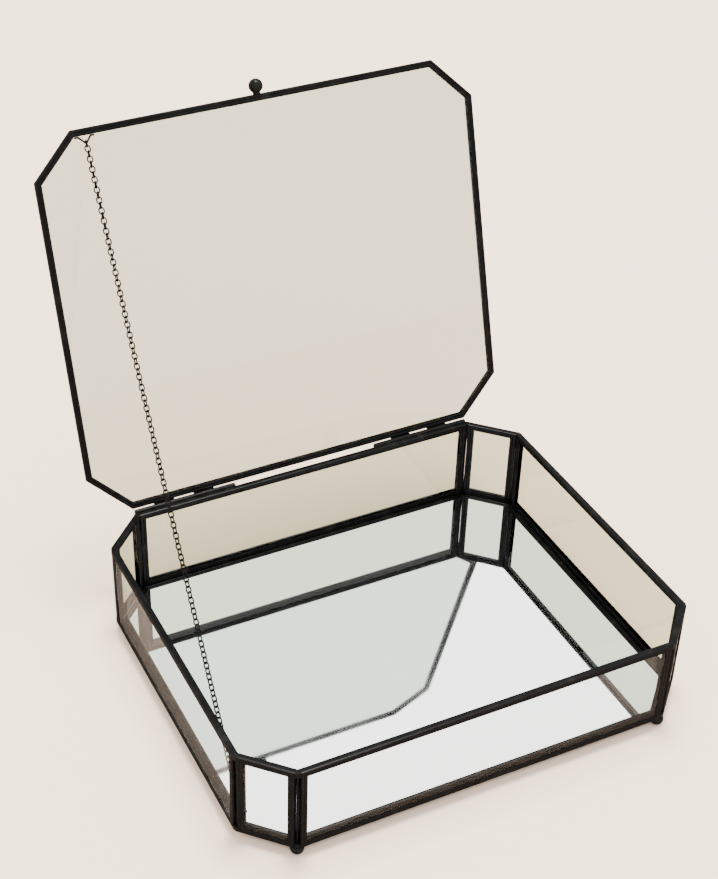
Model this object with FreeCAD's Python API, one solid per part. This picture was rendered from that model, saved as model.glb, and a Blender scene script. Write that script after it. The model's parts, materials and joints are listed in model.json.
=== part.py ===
import FreeCAD, Part
import math
import os

# Hinged octagonal keepsake box: clear glass panes in soldered U-channel came on a mirror base.
# Millimetres, +Z up, the lid's hinge along X at the back. The lid is modelled standing open
# against its stay chain. The origin is the bottom centre of everything, at table height.

# Box body
BOX_LENGTH = 305.0          # outside, along X
BOX_DEPTH = 253.0           # outside, along Y
WALL_HEIGHT = 62.0          # a wall pane with its came, bottom to top
CORNER_CUT = 27.5           # how far each chamfer reaches along both sides

# Lead-style came: a U-channel that wraps a pane's edge
WALL_CAME_THICK = 4.1       # across the pane
WALL_CAME_FACE = 4.3        # how far the flange reaches over the pane
LID_CAME_THICK = 3.8
LID_CAME_FACE = 4.2
BASE_CAME_THICK = 3.4
BASE_CAME_FACE = 4.4
CAME_SHEET = 0.6            # metal thickness
CAME_GROOVE = 0.35          # depth of the line rolled down the middle of each flange
CAME_GROOVE_WIDTH = 1.0
CAME_EDGE = 0.35            # broken outer edges
PANE_END_GAP = 0.25         # each wall pane stops this far short of the corner
BASE_GAP = 0.1              # between the walls and the base rim
BASE_RIM_RISE = 1.3         # top of the base rim above the walls' bottom edge
GLASS_EDGE_GAP = 0.2        # between a pane's edge and the bottom of its channel

# Corner solder
SOLDER_HEIGHT = 3.5
SOLDER_GAP = 0.05

# Feet
FOOT_RADIUS = 4.2
FOOT_FLAT_DEPTH = 0.15      # the ball is flattened this much where it stands
FOOT_CENTRE_DROP = 2.3      # ball's centre below the walls' bottom edge
FOOT_INSET = 3.6            # ball's centre inside the outer corner, towards the middle

# Lid
LID_SETBACK = 1.2           # the lid's front edge behind the box's front face
LID_OPEN_ANGLE = 107.0      # at the end of the chain

# Barrel hinges
HINGE_LENGTH = 71.0
HINGE_END_GAP = 1.0         # from the hinge's outer end to the corner of the back wall
HINGE_BELOW = 1.2           # pin's axis below the walls' top edge
BARREL_RADIUS = 1.8
BARREL_CLEARANCE = 0.1      # between a barrel and the back face
PIN_RADIUS = 0.8
PIN_CLEARANCE = 0.05
PIN_HEAD_RADIUS = 1.3
PIN_HEAD_LENGTH = 0.5
KNUCKLES = 5
KNUCKLE_GAP = 0.15
LEAF_THICK = 0.9
LEAF_CLEARANCE = 0.15
LEAF_ON_RIM = 2.2           # how high the lid's leaves reach up the rim's back edge
SADDLE_HEIGHT = 2.4

# Knob
KNOB_RADIUS = 4.6
KNOB_CLEARANCE = 0.12       # between the ball and the front wall's top edge, lid closed
NECK_RADIUS = 2.4
NECK_RISE = 0.1             # the neck's lowest line above the lid's underside
NECK_LENGTH = 2.2

# Stay chain
STAPLE_WIRE = 0.6           # radius
STAPLE_LENGTH = 12.0        # from end to end, along the lid's front rail
STAPLE_OPENING = 8.0        # between the two bends
STAPLE_REACH = 4.6          # apex from the rail, along the lid
STAPLE_DROP = 2.6           # apex below the lid's underside
STAPLE_CLEARANCE = 0.1      # between the staple's end and the came of the chamfered corner
EYE_WIRE = 0.6
EYE_LEG = 3.3               # the eye's upper foot from the inner corner, along the front-left wall
EYE_BACK_LEG = 10.0         # its lower foot from the inner corner, along the left wall's bottom rail
EYE_REACH = 1.4             # from the eye's feet to its bar
EYE_SLANT = 10.3            # how much higher the upper foot is
LINK_WIRE = 0.36            # radius
LINK_WIDTH = 3.9
LINK_SLACK = 0.2            # play of one link in the next
LINK_PITCH = 3.3            # about this far from link to link; the chain has an even number of them
CHAIN_SAG = 4.0
EYE_LINK_GAP = 1.6          # from the middle of the eye's wire to the middle of the link's wire in it
STAPLE_LINK_GAP = 1.95      # the same at the staple
CHAIN_TWIST = 36.0          # how far the links turn from the lower end to the upper end

HALF_CORNER = math.tan(math.pi / 8)     # how a 135 degree corner runs back as its sides move in
FLOOR_TO_WALL = FOOT_RADIUS - FOOT_FLAT_DEPTH + FOOT_CENTRE_DROP
WALL_TOP = FLOOR_TO_WALL + WALL_HEIGHT
BASE_TOP = FLOOR_TO_WALL + BASE_RIM_RISE
BASE_INSET = WALL_CAME_THICK + BASE_GAP
LID_DEPTH = BOX_DEPTH - LID_SETBACK
HINGE_BEHIND = BARREL_RADIUS + BARREL_CLEARANCE
HINGE_Y = BOX_DEPTH / 2 + HINGE_BEHIND
HINGE_Z = WALL_TOP - HINGE_BELOW
EYE_HEIGHT = (BASE_RIM_RISE + WALL_CAME_FACE) / 2
KNOB_RISE = NECK_RISE + NECK_RADIUS
KNOB_STANDOFF = LID_SETBACK + math.sqrt((KNOB_RADIUS + KNOB_CLEARANCE) ** 2 - KNOB_RISE ** 2)
STAPLE_END_X = CORNER_CUT - BOX_LENGTH / 2 + HALF_CORNER * (LID_CAME_FACE + STAPLE_WIRE) + STAPLE_CLEARANCE
STAPLE_X = STAPLE_END_X + STAPLE_LENGTH / 2
SIDE_NAMES = ["front", "front_right", "right", "back_right", "back", "back_left", "left", "front_left"]
UP = FreeCAD.Vector(0, 0, 1)
ALONG_X = FreeCAD.Vector(1, 0, 0)


def point(x, y, z=0.0):
    return FreeCAD.Vector(x, y, z)


def octagon(length, depth, cut, centre_y=0.0):
    """Corners of a rectangle with its corners cut off, counter-clockwise, starting at the front side."""
    x, y = length / 2, depth / 2
    corners = [(cut - x, -y), (x - cut, -y), (x, cut - y), (x, y - cut),
               (x - cut, y), (cut - x, y), (-x, y - cut), (-x, cut - y)]
    return [point(px, py + centre_y) for px, py in corners]


def inset(outline, distance):
    """The outline with every side moved inwards; outline is flat in XY and counter-clockwise."""
    moved = []
    count = len(outline)
    for i in range(count):
        before = (outline[i] - outline[i - 1]).normalize()
        after = (outline[(i + 1) % count] - outline[i]).normalize()
        normal_before = point(-before.y, before.x)
        normal_after = point(-after.y, after.x)
        bisector = normal_before + normal_after
        scale = distance / (1 + normal_before.dot(normal_after))
        moved.append(outline[i] + bisector * scale)
    return moved


def solid_from_faces(loops):
    """A closed solid whose flat faces are the given loops of points."""
    faces = [Part.Face(Part.makePolygon(loop + [loop[0]])) for loop in loops]
    shell = Part.Shell(faces)
    solid = Part.Solid(shell)
    if solid.Volume < 0:
        solid.reverse()
    return solid


def slab(outline, low, high):
    """A flat plate on an outline, from height low to height high."""
    base = [p + UP * low for p in outline]
    return Part.Face(Part.makePolygon(base + [base[0]])).extrude(UP * (high - low))


def came_profile(face, thick):
    """The U-channel's section as (reach over the pane, height): outer edge at 0, open towards the pane."""
    half = thick / 2
    middle = face / 2
    groove = CAME_GROOVE_WIDTH / 2
    inner = half - CAME_SHEET
    upper = [(face, half), (middle + groove, half), (middle, half - CAME_GROOVE),
             (middle - groove, half), (CAME_EDGE, half), (0.0, half - CAME_EDGE)]
    lower = [(reach, -height) for reach, height in reversed(upper)]
    channel = [(face, -inner), (CAME_SHEET, -inner), (CAME_SHEET, inner), (face, inner)]
    return upper + lower + channel


def came_ring(outline, face, thick):
    """Came strips round a flat outline, mitred where they meet. The ring lies centred on z = 0."""
    section = came_profile(face, thick)
    inner = inset(outline, face)
    strips = []
    for i in range(len(outline)):
        j = (i + 1) % len(outline)
        start_slope = (inner[i] - outline[i]) * (1 / face)
        end_slope = (inner[j] - outline[j]) * (1 / face)
        start = [outline[i] + start_slope * reach + UP * height for reach, height in section]
        end = [outline[j] + end_slope * reach + UP * height for reach, height in section]
        count = len(section)
        sides = [[start[k], end[k], end[(k + 1) % count], start[(k + 1) % count]] for k in range(count)]
        strips.append(solid_from_faces(sides + [start, end]))
    return strips


def pane(outline, thick):
    """The glass that fills a came ring."""
    edge = inset(outline, CAME_SHEET + GLASS_EDGE_GAP)
    half = thick / 2 - CAME_SHEET
    return slab(edge, -half, half)


def wall_frame(index):
    """Start, direction and length of one wall pane, measured on the walls' inner corners."""
    inner = inset(octagon(BOX_LENGTH, BOX_DEPTH, CORNER_CUT), WALL_CAME_THICK)
    start, end = inner[index], inner[(index + 1) % len(inner)]
    direction = (end - start).normalize()
    return start + direction * PANE_END_GAP, direction, (end - start).Length - 2 * PANE_END_GAP


def stand_up(shape, start, direction):
    """Turns a flat panel drawn in XY so that it stands on the floor line from start along direction."""
    outward = point(direction.y, -direction.x)
    middle = start + outward * (WALL_CAME_THICK / 2) + UP * FLOOR_TO_WALL
    placement = FreeCAD.Matrix(direction.x, 0, outward.x, middle.x,
                               direction.y, 0, outward.y, middle.y,
                               0, 1, 0, middle.z,
                               0, 0, 0, 1)
    return shape.transformed(placement, True)


def walls():
    """Eight glass panes, each in its own ring of came."""
    pieces = {}
    for index, name in enumerate(SIDE_NAMES):
        start, direction, length = wall_frame(index)
        outline = [point(0, 0), point(length, 0), point(length, WALL_HEIGHT), point(0, WALL_HEIGHT)]
        strips = came_ring(outline, WALL_CAME_FACE, WALL_CAME_THICK)
        pieces["came_" + name] = [stand_up(strip, start, direction) for strip in strips]
        pieces["glass_" + name] = [stand_up(pane(outline, WALL_CAME_THICK), start, direction)]
    return pieces


def corner_solder():
    """A wedge of solder at the top and bottom of each groove between two wall panes."""
    wedges = []
    count = len(SIDE_NAMES)
    for index in range(count):
        start, direction, length = wall_frame(index)
        before_start, before_direction, before_length = wall_frame(index - 1)
        outward = point(direction.y, -direction.x)
        before_outward = point(before_direction.y, -before_direction.x)
        here = start - direction * SOLDER_GAP
        there = before_start + before_direction * (before_length + SOLDER_GAP)
        outline = [there, there + before_outward * WALL_CAME_THICK, here + outward * WALL_CAME_THICK, here]
        low = FLOOR_TO_WALL + SOLDER_GAP
        high = WALL_TOP - SOLDER_GAP
        wedges.append(slab(outline, low, low + SOLDER_HEIGHT))
        wedges.append(slab(outline, high - SOLDER_HEIGHT, high))
    return {"corner_solder": wedges}


def base():
    """The mirror and the came round it, inside the walls."""
    outline = inset(octagon(BOX_LENGTH, BOX_DEPTH, CORNER_CUT), BASE_INSET)
    centre = UP * (BASE_TOP - BASE_CAME_THICK / 2)
    strips = came_ring(outline, BASE_CAME_FACE, BASE_CAME_THICK)
    mirror = pane(outline, BASE_CAME_THICK)
    return {"base_rim": [strip.translated(centre) for strip in strips],
            "base_mirror": [mirror.translated(centre)]}


def feet(base_rim):
    """Balls under the ends of the front and back walls, seated against the walls and the base rim."""
    pieces = {}
    corners = octagon(BOX_LENGTH, BOX_DEPTH, CORNER_CUT)
    names = {0: "foot_front_left", 1: "foot_front_right", 4: "foot_back_right", 5: "foot_back_left"}
    for index, name in names.items():
        corner = corners[index]
        across = point(-math.copysign(1, corner.x), 0) * (FOOT_INSET * HALF_CORNER)
        inward = point(0, -math.copysign(1, corner.y)) * FOOT_INSET
        centre = corner + across + inward + UP * (FOOT_RADIUS - FOOT_FLAT_DEPTH)
        ball = Part.makeSphere(FOOT_RADIUS, centre)
        room = 2 * FOOT_RADIUS
        keep = Part.makeBox(2 * room, 2 * room, FLOOR_TO_WALL, point(centre.x - room, centre.y - room))
        ball = ball.common(keep)
        for strip in base_rim:
            ball = ball.cut(strip)
        pieces[name] = [max(ball.Solids, key=lambda solid: solid.Volume)]
    return pieces


def knuckle_spans(middle):
    """Start and end of each knuckle along X, for the hinge whose middle is given."""
    pitch = (HINGE_LENGTH + KNUCKLE_GAP) / KNUCKLES
    first = middle - HINGE_LENGTH / 2
    return [(first + k * pitch, first + (k + 1) * pitch - KNUCKLE_GAP) for k in range(KNUCKLES)]


def tube(start, end, radius):
    outer = Part.makeCylinder(radius, end - start, point(start, HINGE_Y, HINGE_Z), ALONG_X)
    bore = Part.makeCylinder(PIN_RADIUS + PIN_CLEARANCE, end - start, point(start, HINGE_Y, HINGE_Z), ALONG_X)
    return outer, bore


def box_knuckle(start, end):
    """A length of tube with a saddle that reaches the back wall."""
    outer, bore = tube(start, end, BARREL_RADIUS)
    saddle = Part.makeBox(end - start, HINGE_BEHIND, SADDLE_HEIGHT,
                          point(start, BOX_DEPTH / 2, HINGE_Z - SADDLE_HEIGHT / 2))
    return outer.fuse(saddle).cut(bore).removeSplitter()


def lid_knuckle(start, end):
    """A length of tube with a leaf that reaches up to the closed lid's back edge."""
    outer, bore = tube(start, end, BARREL_RADIUS)
    length = end - start
    leaf_y = BOX_DEPTH / 2 + LEAF_CLEARANCE
    leaf = Part.makeBox(length, LEAF_THICK, WALL_TOP + LEAF_ON_RIM - HINGE_Z, point(start, leaf_y, HINGE_Z))
    lip = Part.makeBox(length, LEAF_CLEARANCE, LEAF_ON_RIM, point(start, BOX_DEPTH / 2, WALL_TOP))
    return outer.fuse(leaf).fuse(lip).cut(bore).removeSplitter()


def hinge_pin(spans):
    """A rod through all knuckles of one hinge, with a flat head at each end."""
    start, end = spans[0][0], spans[-1][1]
    rod = Part.makeCylinder(PIN_RADIUS, end - start, point(start, HINGE_Y, HINGE_Z), ALONG_X)
    for x in (start - PIN_HEAD_LENGTH, end):
        head = Part.makeCylinder(PIN_HEAD_RADIUS, PIN_HEAD_LENGTH, point(x, HINGE_Y, HINGE_Z), ALONG_X)
        rod = rod.fuse(head)
    return rod.removeSplitter()


def hinges():
    """Box side and lid side of the two hinges, closed; odd knuckles belong to the box."""
    box_side, lid_side = {}, {}
    reach = BOX_LENGTH / 2 - CORNER_CUT - HINGE_END_GAP - HINGE_LENGTH / 2
    for name, middle in (("left", -reach), ("right", reach)):
        spans = knuckle_spans(middle)
        box_side[f"hinge_{name}_box_knuckles"] = [box_knuckle(*span) for span in spans[0::2]]
        lid_side[f"hinge_{name}_lid_knuckles"] = [lid_knuckle(*span) for span in spans[1::2]]
        box_side[f"hinge_{name}_pin"] = [hinge_pin(spans)]
    return box_side, lid_side


def closed_lid():
    """Lid glass, its rim and the knob on its front edge."""
    back = BOX_DEPTH / 2
    outline = octagon(BOX_LENGTH, LID_DEPTH, CORNER_CUT, back - LID_DEPTH / 2)
    centre = UP * (WALL_TOP + LID_CAME_THICK / 2)
    front = back - LID_DEPTH
    knob_z = WALL_TOP + KNOB_RISE
    ball = Part.makeSphere(KNOB_RADIUS, point(0, front - KNOB_STANDOFF, knob_z))
    neck = Part.makeCylinder(NECK_RADIUS, NECK_LENGTH, point(0, front, knob_z), point(0, -1, 0))
    return {
        "lid_rim": [strip.translated(centre) for strip in came_ring(outline, LID_CAME_FACE, LID_CAME_THICK)],
        "lid_glass": [pane(outline, LID_CAME_THICK).translated(centre)],
        "knob_ball": [ball.cut(neck)],
        "knob_neck": [neck],
    }


def bent_wire(points, radius):
    """A round wire through points, with rounded bends and ends."""
    wire = Part.makeSphere(radius, points[0])
    for start, end in zip(points, points[1:]):
        rod = Part.makeCylinder(radius, (end - start).Length, start, end - start)
        wire = wire.fuse(rod).fuse(Part.makeSphere(radius, end))
    return wire.removeSplitter()


def lid_staple_points():
    """The chain's staple under the closed lid: its ends lie on the glass, against the front rail."""
    rail_y = BOX_DEPTH / 2 - LID_DEPTH + LID_CAME_FACE + STAPLE_WIRE
    on_glass = WALL_TOP + CAME_SHEET - STAPLE_WIRE
    ends = [point(STAPLE_X + side * STAPLE_LENGTH / 2, rail_y, on_glass) for side in (-1, 1)]
    bends = [point(STAPLE_X + side * STAPLE_OPENING / 2, rail_y, on_glass) for side in (-1, 1)]
    return [ends[0], bends[0], lid_staple_apex(), bends[1], ends[1]]


def lid_staple_apex():
    rail_y = BOX_DEPTH / 2 - LID_DEPTH + LID_CAME_FACE
    return point(STAPLE_X, rail_y + STAPLE_REACH, WALL_TOP - STAPLE_DROP)


def box_eye_points():
    """The chain's eye: a wire that stands off the corner of the left and front-left walls, low down."""
    start, direction, length = wall_frame(SIDE_NAMES.index("front_left"))
    left_start, left_direction, left_length = wall_frame(SIDE_NAMES.index("left"))
    corner = start - direction * PANE_END_GAP + UP * (FLOOR_TO_WALL + EYE_HEIGHT)
    inward = (direction - left_direction).normalize()
    foot = corner + direction * EYE_LEG + point(-direction.y, direction.x) * EYE_WIRE + UP * EYE_SLANT
    left_foot = corner - left_direction * EYE_BACK_LEG + point(-left_direction.y, left_direction.x) * EYE_WIRE
    return [left_foot, left_foot + inward * EYE_REACH, foot + inward * EYE_REACH, foot]


def box_eye_middle():
    """Where the chain pulls on its eye."""
    left_foot, left_bend, bend, foot = box_eye_points()
    return (left_bend + bend) * 0.5


def opened(thing):
    """A point or shape of the closed lid, swung up and back to the end of the chain."""
    swing = FreeCAD.Rotation(ALONG_X, -LID_OPEN_ANGLE)
    placement = FreeCAD.Placement(point(0, 0), swing, point(0, HINGE_Y, HINGE_Z))
    if isinstance(thing, FreeCAD.Vector):
        return placement.multVec(thing)
    return thing.transformed(placement.toMatrix(), True)


def chain_line():
    """Points between neighbouring links, from the box's eye up to the lid's staple, on a shallow sag."""
    low = box_eye_middle()
    high = opened(lid_staple_apex())
    along = (high - low).normalize()
    half_play = LINK_WIRE + LINK_SLACK / 2
    low = low + along * (half_play - EYE_LINK_GAP)
    high = high + along * (STAPLE_LINK_GAP - half_play)
    sag_down = (UP * -1 + along * along.z).normalize()
    count = 2 * round((high - low).Length / (2 * LINK_PITCH))
    knots = []
    for k in range(count + 1):
        t = k / count
        knots.append(low + (high - low) * t + sag_down * (CHAIN_SAG * 4 * t * (1 - t)))
    return knots


def link(pitch):
    """One oval link of round wire, lying in XY with its long way along X, centred on the origin."""
    bend = LINK_WIDTH / 2 - LINK_WIRE
    straight = pitch + LINK_SLACK + 2 * LINK_WIRE - 2 * bend
    ring = []
    for side in (-1, 1):
        bar = Part.makeCylinder(LINK_WIRE, straight, point(-straight / 2, side * bend), ALONG_X)
        end = Part.makeTorus(bend, LINK_WIRE, point(side * straight / 2, 0), UP, -180, 180, 180)
        end.rotate(point(side * straight / 2, 0), UP, -90 if side > 0 else 90)
        ring += [bar, end]
    return ring[0].fuse(ring[1:]).removeSplitter()


def chain():
    """Neighbouring links stand across each other, and all of them turn slowly along the chain."""
    knots = chain_line()
    count = len(knots) - 1
    one = link((knots[1] - knots[0]).Length)
    links = []
    for index, (start, end) in enumerate(zip(knots, knots[1:])):
        along = (end - start).normalize()
        side = along.cross(UP).normalize()
        lay = FreeCAD.Rotation(along, side, along.cross(side), "XYZ")
        roll = FreeCAD.Rotation(ALONG_X, 90 * (index % 2) + CHAIN_TWIST * (1 - index / count))
        placement = FreeCAD.Placement((start + end) * 0.5, lay.multiply(roll))
        links.append(one.transformed(placement.toMatrix(), True))
    return {"stay_chain": links}


def build():
    pieces = walls()
    pieces.update(corner_solder())
    pieces.update(base())
    pieces.update(feet(pieces["base_rim"]))
    box_side, lid_side = hinges()
    pieces.update(box_side)
    pieces["chain_box_eye"] = [bent_wire(box_eye_points(), EYE_WIRE)]
    lid = closed_lid()
    lid.update(lid_side)
    lid["chain_lid_staple"] = [bent_wire(lid_staple_points(), STAPLE_WIRE)]
    for name, solids in lid.items():
        pieces[name] = [opened(solid) for solid in solids]
    pieces.update(chain())
    return pieces


def main():
    pieces = build()
    bounds = FreeCAD.BoundBox()
    for solids in pieces.values():
        for solid in solids:
            bounds.add(solid.BoundBox)
    to_origin = point(-bounds.Center.x, -bounds.Center.y, -bounds.ZMin)
    os.makedirs("parts", exist_ok=True)
    for name, solids in pieces.items():
        moved = [solid.translated(to_origin) for solid in solids]
        shape = moved[0] if len(moved) == 1 else Part.makeCompound(moved)
        shape.exportStep(f"parts/{name}.step")
    print("box centre", to_origin.x, to_origin.y, to_origin.z)
    print("hinge axis", HINGE_Y + to_origin.y, HINGE_Z + to_origin.z)
    print("chain length", sum((b - a).Length for a, b in zip(chain_line(), chain_line()[1:])))


main()
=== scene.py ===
import json
import math

import bpy
import numpy as np
from mathutils import Euler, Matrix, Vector


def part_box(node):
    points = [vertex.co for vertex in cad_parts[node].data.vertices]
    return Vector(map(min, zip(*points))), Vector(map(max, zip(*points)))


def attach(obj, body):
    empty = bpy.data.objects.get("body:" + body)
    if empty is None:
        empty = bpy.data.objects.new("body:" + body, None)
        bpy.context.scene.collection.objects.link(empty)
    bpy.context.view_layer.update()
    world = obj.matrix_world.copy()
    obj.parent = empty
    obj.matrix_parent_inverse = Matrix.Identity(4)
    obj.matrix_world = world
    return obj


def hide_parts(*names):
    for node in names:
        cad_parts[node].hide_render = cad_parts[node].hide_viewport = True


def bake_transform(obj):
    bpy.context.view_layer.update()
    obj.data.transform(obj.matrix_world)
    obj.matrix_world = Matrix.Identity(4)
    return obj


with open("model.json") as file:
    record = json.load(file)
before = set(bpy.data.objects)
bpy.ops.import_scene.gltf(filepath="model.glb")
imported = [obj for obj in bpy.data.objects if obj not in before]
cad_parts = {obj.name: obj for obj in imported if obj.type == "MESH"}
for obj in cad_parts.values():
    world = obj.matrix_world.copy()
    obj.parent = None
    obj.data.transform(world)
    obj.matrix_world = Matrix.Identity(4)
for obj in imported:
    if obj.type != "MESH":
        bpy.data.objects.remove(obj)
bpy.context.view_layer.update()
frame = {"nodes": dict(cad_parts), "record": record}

nodes = frame["nodes"]
print("frame loaded,", len(nodes), "nodes")

# Places and sizes of the box, all taken from the frame
frontLow, frontHigh = (np.array(c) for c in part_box("came_front"))
backHigh = np.array(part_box("came_back")[1])
leftLow, rightHigh = np.array(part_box("came_left")[0]), np.array(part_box("came_right")[1])
rimLow, rimHigh = (np.array(c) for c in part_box("base_rim"))
boxCentre = np.array([0.0, (frontLow[1] + backHigh[1]) / 2, frontLow[2]])
boxLength, boxDepth = rightHigh[0] - leftLow[0], backHigh[1] - frontLow[1]
wallHeight, wallThick = frontHigh[2] - frontLow[2], frontHigh[1] - frontLow[1]
paneGap = 0.00025  # each wall frame stops this far short of the corner
eighth = math.tan(math.pi / 8)
up = np.array([0.0, 0.0, 1.0])
cornerCut = boxLength / 2 - frontHigh[0] - paneGap - wallThick * eighth
lidHinge = frame["record"]["behaviour"]["joints"][0]


# Shader expressions
class Socket:
    # a node's output, so that shader maths reads as arithmetic
    def __init__(self, material, link):
        self.material = material
        self.link = link

    def maths(self, operation, first, second):
        return self.material.node("ShaderNodeMath", {"operation": operation}, {0: first, 1: second})

    def __add__(self, other):
        return self.maths("ADD", self, other)

    def __radd__(self, other):
        return self.maths("ADD", other, self)

    def __mul__(self, other):
        return self.maths("MULTIPLY", self, other)

    def __rmul__(self, other):
        return self.maths("MULTIPLY", other, self)

    def __pow__(self, other):
        return self.maths("POWER", self, other)


class Finish:
    # one procedural material
    def __init__(self, name):
        self.material = bpy.data.materials.new(name)
        self.material.use_nodes = True
        self.tree = self.material.node_tree
        self.tree.nodes.clear()
        self.out = self.tree.nodes.new("ShaderNodeOutputMaterial")

    def node(self, kind, settings=None, inputs=None, output=0):
        # settings first, a ramp's stops among them, then values or links
        made = self.tree.nodes.new(kind)
        for key, value in (settings or {}).items():
            if key == "stops":
                ramp = made.color_ramp
                for place, stop in enumerate(value):
                    fresh = place >= len(ramp.elements)
                    element = ramp.elements.new(stop[0]) if fresh else ramp.elements[place]
                    element.position = stop[0]
                    element.color = stop[1]
            else:
                setattr(made, key, value)
        for key, value in (inputs or {}).items():
            if isinstance(value, Socket):
                self.tree.links.new(value.link, made.inputs[key])
            else:
                made.inputs[key].default_value = value
        return Socket(self, made.outputs[output])

    def place(self):
        return self.node("ShaderNodeTexCoord", output="Object")

    def noise(self, scale, detail, roughness):
        return self.node("ShaderNodeTexNoise", {}, {"Vector": self.place(), "Scale": scale,
                                                    "Detail": detail, "Roughness": roughness})

    def ramp(self, value, stops):
        return self.node("ShaderNodeValToRGB", {"stops": stops}, {"Fac": value})

    def blendColour(self, factor, first, second):
        return self.node("ShaderNodeMix", {"data_type": "RGBA", "blend_type": "MIX"},
                         {0: factor, 6: first, 7: second}, output=2)

    def bump(self, height, strength, distance):
        return self.node("ShaderNodeBump", {}, {"Height": height, "Strength": strength,
                                                "Distance": distance})

    def finish(self, shader):
        self.tree.links.new(shader.link, self.out.inputs["Surface"])
        return self.material


def grey(value, tint):
    return (value * tint[0], value * tint[1], value * tint[2], 1.0)


patina = {
    "worn": 0.007, "tint": (1.0, 0.995, 0.985), "sheen": 0.09, "sheenRough": 0.24,
    "cloudScale": 90.0, "toneCloud": 0.85, "toneFine": 0.15, "skinCloud": 0.8, "skinFine": 0.2,
    "darkAt": 0.36, "lightAt": 0.56, "wornAt": 0.74, "bump": 0.2,
}


def patinaMetal(name, dark, light, roughLow, roughHigh, grain, bumpDepth):
    # Near-black patina. The tone is a share of coarse noise plus a share of fine noise, and a ramp
    # takes it from dark over light to worn. The bump is the same two noises in other shares.
    m = Finish(name)
    cloud = m.noise(patina["cloudScale"], 5.0, 0.6)
    fine = m.noise(grain, 3.0, 0.6)
    tone = cloud * patina["toneCloud"] + fine * patina["toneFine"]
    colour = m.ramp(tone, [(patina["darkAt"], grey(dark, patina["tint"])),
                           (patina["lightAt"], grey(light, patina["tint"])),
                           (patina["wornAt"], grey(patina["worn"], patina["tint"]))])
    rough = m.node("ShaderNodeMapRange", {}, {"Value": tone, "From Min": 0.3, "From Max": 0.7,
                                              "To Min": roughLow, "To Max": roughHigh})
    skin = cloud * patina["skinCloud"] + fine * patina["skinFine"]
    normal = m.bump(skin, patina["bump"], bumpDepth)
    shader = m.node("ShaderNodeBsdfPrincipled", {}, {
        "Base Color": colour, "Roughness": rough, "Normal": normal, "Specular IOR Level": 0.0,
        "Coat Weight": patina["sheen"], "Coat Roughness": patina["sheenRough"], "Coat IOR": 1.5})
    return m.finish(shader)


# the lid and back tints are painted shade: the same glass as the front panes, drawn darker
glassTintShadeAndGloss = {
    "lid": (0.70, 0.735, 0.695, 1.0), "back": (0.68, 0.70, 0.62, 1.0),
    "front": (0.955, 0.965, 0.955, 1.0), "reflect": 0.018, "glancing": 0.13, "power": 5.0,
    "rough": 0.02, "rippleScale": 5.0, "rippleBump": 0.04, "rippleDepth": 0.002,
}


def clearGlass(part):
    # A pane lets light straight through, tinted by its colour. The front panes take the glass's own
    # slight tint; the lid and back panes take a darker tint that is painted shade.
    # The share that it mirrors is reflect plus glancing times the facing value raised to a power.
    m = Finish(f"glass tint and painted shade {part}")
    facing = m.node("ShaderNodeLayerWeight", {}, {"Blend": 0.5}, output="Facing")
    gloss = glassTintShadeAndGloss["reflect"] + glassTintShadeAndGloss["glancing"] * (facing ** glassTintShadeAndGloss["power"])
    through = m.node("ShaderNodeBsdfTransparent", {}, {"Color": glassTintShadeAndGloss[part]})
    waves = m.noise(glassTintShadeAndGloss["rippleScale"], 1.0, 0.4)
    ripple = m.bump(waves, glassTintShadeAndGloss["rippleBump"], glassTintShadeAndGloss["rippleDepth"])
    mirror = m.node("ShaderNodeBsdfAnisotropic", {}, {
        "Color": (1.0, 1.0, 1.0, 1.0), "Roughness": glassTintShadeAndGloss["rough"], "Normal": ripple})
    return m.finish(m.node("ShaderNodeMixShader", {}, {0: gloss, 1: through, 2: mirror}))


silver = {
    "hazeScale": 22.0, "clear": (0.965, 0.975, 0.97, 1.0), "hazy": (0.98, 0.985, 0.98, 1.0),
    "roughLow": 0.02, "roughHigh": 0.04,
}


def silvered():
    # silvered glass: almost all of the light comes back, a touch green, with a very faint haze
    m = Finish("mirror")
    haze = m.noise(silver["hazeScale"], 4.0, 0.5)
    colour = m.blendColour(haze, silver["clear"], silver["hazy"])
    rough = m.node("ShaderNodeMapRange", {}, {"Value": haze, "From Min": 0.3, "From Max": 0.7,
                                              "To Min": silver["roughLow"],
                                              "To Max": silver["roughHigh"]})
    shader = m.node("ShaderNodeBsdfPrincipled", {}, {
        "Base Color": colour, "Metallic": 1.0, "Roughness": rough})
    return m.finish(shader)


cameFinish = patinaMetal("came patina", 0.0008, 0.002, 0.3, 0.42, 900.0, 0.00003)
solderFinish = patinaMetal("solder patina", 0.001, 0.003, 0.3, 0.45, 420.0, 0.00025)
hingeFinish = patinaMetal("hinge patina", 0.001, 0.003, 0.3, 0.45, 700.0, 0.00005)
ballFinish = patinaMetal("ball patina", 0.001, 0.004, 0.2, 0.34, 380.0, 0.00012)
wireFinish = patinaMetal("wire patina", 0.0006, 0.0016, 0.3, 0.45, 1200.0, 0.00004)
glassFinish = {part: clearGlass(part) for part in ("lid", "back", "front")}
mirrorFinish = silvered()
print("materials made")


def dress(name, finish):
    node = nodes[name]
    node.data.materials.clear()
    node.data.materials.append(finish)


for name in nodes:
    # the lid and back panes get the darker tints, which are painted shade
    if name == "lid_glass":
        dress(name, glassFinish["lid"])
    elif name in ("glass_back", "glass_back_right", "glass_back_left", "glass_right"):
        dress(name, glassFinish["back"])
    elif name.startswith("glass"):
        dress(name, glassFinish["front"])
    elif name == "base_mirror":
        dress(name, mirrorFinish)
    elif name.startswith("came") or name in ("base_rim", "lid_rim"):
        dress(name, cameFinish)
    elif name == "corner_solder":
        dress(name, solderFinish)
    elif name.startswith("hinge"):
        dress(name, hingeFinish)
    elif name.startswith("knob") or name.startswith("foot"):
        dress(name, ballFinish)
    else:
        dress(name, wireFinish)


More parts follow.
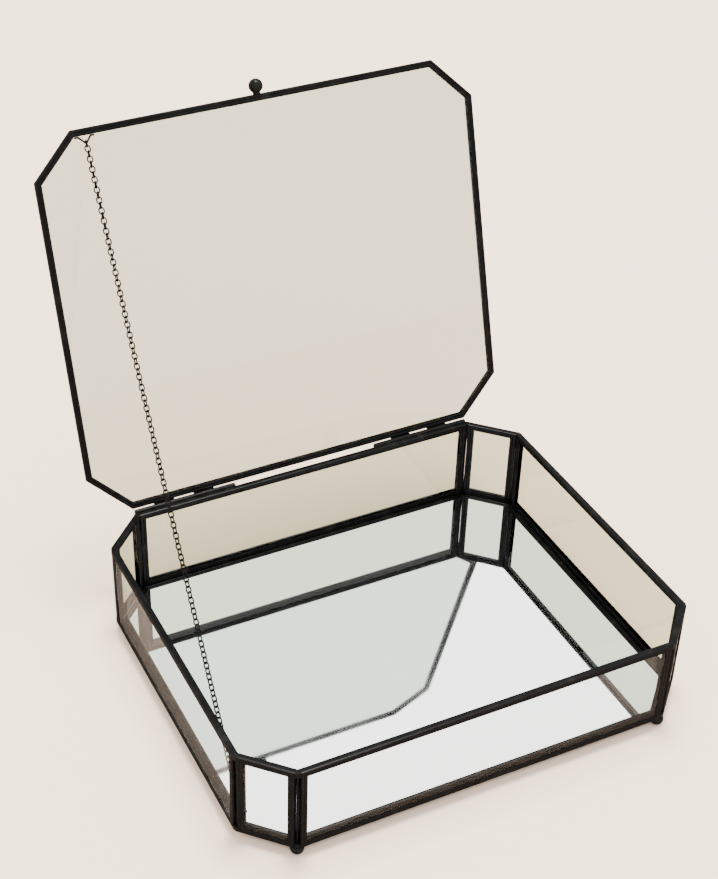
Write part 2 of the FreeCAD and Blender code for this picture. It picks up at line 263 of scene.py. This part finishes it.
def surface(name, points, faces, finish, smooth=True, crease=None):
    mesh = bpy.data.meshes.new(name)
    mesh.from_pydata(points.reshape(-1, 3).tolist(), [], faces)
    mesh.materials.append(finish)
    mesh.polygons.foreach_set("use_smooth", np.full(len(mesh.polygons), smooth))
    if crease:
        mesh.set_sharp_from_angle(angle=math.radians(crease))
    mesh.update()
    made = bpy.data.objects.new(name, mesh)
    bpy.context.scene.collection.objects.link(made)
    return made


def tube(here, there):
    # four-cornered faces between one ring of point numbers and the next
    rings = [here, np.roll(here, -1, axis=-1), np.roll(there, -1, axis=-1), there]
    return np.stack(rings, axis=-1).reshape(-1, 4).tolist()


# The came: a U-channel round each pane, with two rounded ridges on every outer side
came = {
    "ridge": 0.00034, "round": 0.62, "bulge": 0.00022, "sheet": 0.0006, "samples": 17, "steps": 14,
    "wobble": 0.00002, "wobbleTurn": 11.0, "wobbleShift": 2.3, "crease": 50.0,
    "wallFace": 0.0043, "lidFace": 0.0042, "baseFace": 0.0044, "baseGap": 0.0001,
    "lidThick": 0.0038, "lidDepth": 0.2518, "lidPlay": 0.00014,
}


def octagon(length, depth, cut, centreY):
    # a rectangle with its corners cut off, counter-clockwise from the left end of the front side
    x, y = length / 2, depth / 2
    corners = [(cut - x, -y), (x - cut, -y), (x, cut - y), (x, y - cut),
               (x - cut, y), (cut - x, y), (-x, y - cut), (-x, cut - y)]
    return np.array([(px, py + centreY, 0.0) for px, py in corners])


def slopes(loop, normal):
    # how far each corner of a loop moves for each metre that its sides move inwards
    runs = np.roll(loop, -1, axis=0) - loop
    runs /= np.linalg.norm(runs, axis=1)[:, None]
    inwards = np.cross(normal, runs)
    before = np.roll(inwards, 1, axis=0)
    return (before + inwards) / (1 + (before * inwards).sum(axis=1))[:, None]


def cameSection(face, thick):
    # Closed outline as (reach over the pane, height). Each face has two humps: it is cut back by
    # ridge times the rest to one of the unsigned sine of a full turn, raised to a power. The outer
    # side bulges: it is cut back by bulge times the distance from its middle to the fourth.
    q = np.linspace(0.0, 1.0, came["samples"])
    cut = came["ridge"] * (1 - np.abs(np.sin(2 * np.pi * q)) ** came["round"])
    half = thick / 2
    inner = half - came["sheet"]
    top = np.stack([face * (1 - q), half - cut], axis=1)
    side = np.stack([came["bulge"] * (2 * q - 1) ** 4, (half - cut[-1]) * (1 - 2 * q)], axis=1)
    bottom = np.stack([face * q, cut - half], axis=1)
    channel = np.array([(face, -inner), (came["sheet"], -inner), (came["sheet"], inner), (face, inner)])
    return np.concatenate([top[:-1], side, bottom[1:], channel])


def cameRing(name, corners, normal, face, thick, node, body, place=None):
    # Each strip is the section carried from corner to corner, cut along the mitre at both ends:
    # corner plus slope times reach plus normal times height, with a slow wobble along the strip.
    section = cameSection(face, thick)
    slope = slopes(corners, normal)
    reach, height = section[None, :, :1], section[None, :, 1:]
    ends = corners[:, None, :] + slope[:, None, :] * reach + normal * height
    u = np.linspace(0.0, 1.0, came["steps"] + 1)[None, :, None, None]
    points = ends[:, None] * (1 - u) + np.roll(ends, -1, axis=0)[:, None] * u
    count, rows, columns = points.shape[:3]
    phase = np.arange(count)[:, None] * came["wobbleShift"] + len(name)
    way = u[0, :, 0, 0]
    wave = np.sin(way * came["wobbleTurn"] + phase) * np.sin(way * np.pi)
    points = points + came["wobble"] * wave[:, :, None, None] * normal
    if place:
        points = place(points)
    grid = np.arange(count * rows * columns).reshape(count, rows, columns)
    here, there = grid[:, :-1], grid[:, 1:]
    faces = tube(here, there)
    caps = grid[:, 0, ::-1].tolist() + grid[:, -1].tolist()
    made = surface(name, points, faces + caps, cameFinish, crease=came["crease"])
    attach(made, body)
    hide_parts(node)


def openedLid(points):
    # the closed lid's points, turned about the hinge to the rest pose
    angle = -math.radians(lidHinge["range_deg"][1])
    pivot = np.array(lidHinge["pos_m"])
    cosine, sine = math.cos(angle), math.sin(angle)
    turn = np.array([[1, 0, 0], [0, cosine, -sine], [0, sine, cosine]])
    return (points - pivot) @ turn.T + pivot


outer = octagon(boxLength, boxDepth, cornerCut, boxCentre[1])


def wallCames():
    # each ring's corners are the inner outline's corners, moved out to the middle of the wall
    inner = outer + slopes(outer, up) * wallThick
    names = ["front", "front_right", "right", "back_right", "back", "back_left", "left", "front_left"]
    for place, name in enumerate(names):
        start, end = inner[place], inner[(place + 1) % len(inner)]
        run = (end - start) / np.linalg.norm(end - start)
        outward = np.cross(run, up)
        middle = outward * wallThick / 2 + up * boxCentre[2]
        low = start + run * paneGap + middle
        high = end - run * paneGap + middle
        corners = np.array([low, high, high + up * wallHeight, low + up * wallHeight])
        title = "".join(word.title() for word in name.split("_"))
        cameRing(f"wallCame{title}", corners, outward, came["wallFace"], wallThick, f"came_{name}", "box")


def baseAndLidCames():
    # the base ring lies inside the walls, and the lid ring on top of them, turned open afterwards
    inside = slopes(outer, up) * (wallThick + came["baseGap"])
    base = outer + inside + up * (rimLow[2] + rimHigh[2]) / 2
    cameRing("baseCame", base, up, came["baseFace"], rimHigh[2] - rimLow[2], "base_rim", "box")
    lidCentre = backHigh[1] - came["lidDepth"] / 2
    lid = octagon(boxLength, came["lidDepth"], cornerCut, lidCentre)
    lid = lid + up * (frontHigh[2] + came["lidThick"] / 2)
    lidThick = came["lidThick"] - came["lidPlay"]
    cameRing("lidCame", lid, up, came["lidFace"], lidThick, "lid_rim", "lid", place=openedLid)


seam = {
    "inwards": 0.7, "end": 0.0006, "rows": 25, "section": 12, "crease": 60.0,
    "thin": 0.0006, "fat": 0.0009, "tip": 0.00035, "power": 6.0,
}


def cornerSeams():
    # A run of solder in the groove of each upright corner: a round bead carried up the corner. Its
    # radius is thin plus the rest to fat times the unsigned cosine of a half turn, raised to a
    # power, so that it swells at both ends.
    inwards = slopes(outer, up) * wallThick * seam["inwards"]
    foot = outer + inwards + up * (boxCentre[2] + seam["end"])
    u = np.linspace(0.0, 1.0, seam["rows"])
    radius = seam["thin"] + (seam["fat"] - seam["thin"]) * np.abs(np.cos(np.pi * u)) ** seam["power"]
    radius[[0, -1]] = seam["tip"]
    turn = np.linspace(0.0, 2 * np.pi, seam["section"], endpoint=False)
    ring = np.stack([np.cos(turn), np.sin(turn), np.zeros_like(turn)], axis=1)
    rise = (u * (wallHeight - 2 * seam["end"]))[:, None] * up
    bead = radius[None, :, None, None] * ring[None, None]
    points = foot[:, None, None] + rise[None, :, None] + bead
    grid = np.arange(points.size // 3).reshape(points.shape[:3])
    faces = tube(grid[:, :-1], grid[:, 1:])
    caps = grid[:, 0, ::-1].tolist() + grid[:, -1].tolist()
    made = surface("cornerSeams", points, faces + caps, solderFinish, crease=seam["crease"])
    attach(made, "box")


wallCames()
baseAndLidCames()
cornerSeams()
print("cames made")

# The stay chain
chain = {
    "low": (-0.145507, -0.136097, 0.013501), "high": (-0.116808, 0.157154, 0.302802),
    "links": 126, "sag": 0.004, "twist": 36.0, "wire": 0.00036, "drawn": 0.00044,
    "width": 0.0039, "play": 0.0002, "around": 30, "section": 8, "bendTo": 0.96,
}


def stayChain():
    # Each link is a round wire carried along a stadium: two straights and two half circles.
    # Neighbouring links stand across each other, and all turn slowly along the chain. The line
    # of the links drops by the sag times four times t times the rest to one. The wire is drawn
    # thicker than it is, so that it reads as dark as it should.
    low, high = np.array(chain["low"]), np.array(chain["high"])
    span = high - low
    along = span / np.linalg.norm(span)
    down = np.array([0.0, 0.0, -1.0]) + along * along[2]
    down /= np.linalg.norm(down)
    t = np.linspace(0.0, 1.0, chain["links"] + 1)[:, None]
    knots = low + span * t + down * chain["sag"] * 4 * t * (1 - t)
    runs = knots[1:] - knots[:-1]
    pitch = np.linalg.norm(runs, axis=1).mean()
    runs /= np.linalg.norm(runs, axis=1)[:, None]
    side = np.cross(runs, [0.0, 0.0, 1.0])
    side /= np.linalg.norm(side, axis=1)[:, None]
    third = np.cross(runs, side)
    index = np.arange(chain["links"])
    roll = np.radians(90.0 * (index % 2) + chain["twist"] * (1 - index / chain["links"]))[:, None]
    across = side * np.cos(roll) + third * np.sin(roll)
    normal = np.cross(runs, across)

    bend = chain["width"] / 2 - chain["wire"]
    half = (pitch + chain["play"]) / 2 + chain["wire"] - bend
    angle = np.linspace(0.0, 2 * np.pi, chain["around"], endpoint=False) + np.pi / chain["around"]
    outX, outY = np.cos(angle), np.sin(angle)
    pathX = bend * outX + half * np.sign(outX)
    pathY = bend * outY
    turn = np.linspace(0.0, 2 * np.pi, chain["section"], endpoint=False)
    ringX = pathX[:, None] + chain["drawn"] * np.cos(turn) * outX[:, None]
    ringY = pathY[:, None] + chain["drawn"] * np.cos(turn) * outY[:, None]
    ringZ = chain["drawn"] * np.sin(turn) * np.ones_like(outX)[:, None]
    centre = (knots[1:] + knots[:-1]) / 2
    points = (centre[:, None, None, :] + ringX[None, :, :, None] * runs[:, None, None, :]
              + ringY[None, :, :, None] * across[:, None, None, :]
              + ringZ[None, :, :, None] * normal[:, None, None, :])
    count, rows, columns = chain["links"], chain["around"], chain["section"]
    grid = np.arange(count * rows * columns).reshape(count, rows, columns)
    ahead = np.roll(grid, -1, axis=1)
    faces = np.stack([grid, ahead, np.roll(ahead, -1, axis=2), np.roll(grid, -1, axis=2)], axis=-1)
    made = surface("chainLinks", points, faces.reshape(-1, 4).tolist(), wireFinish)
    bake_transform(made)
    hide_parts("stay_chain")


stayChain()
print("chain made")


# Floor, light and camera
stand = {
    "size": 8.0, "colour": (0.58, 0.44, 0.345, 1.0), "second": (0.60, 0.46, 0.365, 1.0),
    "cloudScale": 1.3, "paperScale": 600.0, "paperBump": 0.08, "paperDepth": 0.0005,
}


def backdropFloor():
    m = Finish("pale backdrop")
    cloud = m.noise(stand["cloudScale"], 2.0, 0.4)
    colour = m.blendColour(cloud, stand["colour"], stand["second"])
    grain = m.noise(stand["paperScale"], 3.0, 0.6)
    paper = m.bump(grain, stand["paperBump"], stand["paperDepth"])
    shader = m.node("ShaderNodeBsdfPrincipled", {}, {
        "Base Color": colour, "Roughness": 0.9, "Normal": paper, "Specular IOR Level": 0.2})
    half = stand["size"] / 2
    corners = half * np.array([[-1, -1, 0], [1, -1, 0], [1, 1, 0], [-1, 1, 0]])
    floor = surface("backdrop", corners, [[0, 1, 2, 3]], m.finish(shader), smooth=False)


studio = {
    "sky": (0.90, 0.90, 0.895), "skyStrength": 4.1,
    "lamps": [  # place from the box, size, watts, colour
        ((0.3, 0.45, 2.9), 1.2, 330.0, (1.0, 0.985, 0.965)),
        ((1.8, -0.6, 2.4), 2.0, 16.0, (1.0, 0.99, 0.98)),
    ],
}


def light():
    world = bpy.data.worlds.new("studio")
    world.use_nodes = True
    background = world.node_tree.nodes["Background"]
    background.inputs["Color"].default_value = (*studio["sky"], 1.0)
    background.inputs["Strength"].default_value = studio["skyStrength"]
    bpy.context.scene.world = world
    for number, (place, size, watts, colour) in enumerate(studio["lamps"]):
        data = bpy.data.lights.new(f"softbox{number}", "AREA")
        data.shape = "DISK"
        data.size = size
        data.energy = watts
        data.color = colour
        lamp = bpy.data.objects.new(f"softbox{number}", data)
        lamp.location = Vector(boxCentre) + Vector(place)
        aim = Vector(boxCentre) - lamp.location
        lamp.rotation_euler = aim.to_track_quat("-Z", "Y").to_euler()
        bpy.context.scene.collection.objects.link(lamp)


view = {
    "place": (-0.40681, -0.71701, 0.77099), "turn": (53.658, 0.017, -24.561),
    "lens": 86.289, "shift": (0.1128, 0.0029),
}


def camera():
    data = bpy.data.cameras.new("camera")
    data.lens = view["lens"]
    data.sensor_width = 36.0
    data.sensor_fit = "HORIZONTAL"
    data.shift_x, data.shift_y = view["shift"]
    data.clip_start = 0.01
    made = bpy.data.objects.new("camera", data)
    made.location = Vector(boxCentre) + Vector(view["place"])
    made.rotation_euler = Euler([math.radians(a) for a in view["turn"]], "XYZ")
    bpy.context.scene.collection.objects.link(made)
    bpy.context.scene.camera = made


backdropFloor()
light()
camera()
print("floor, light and camera set")
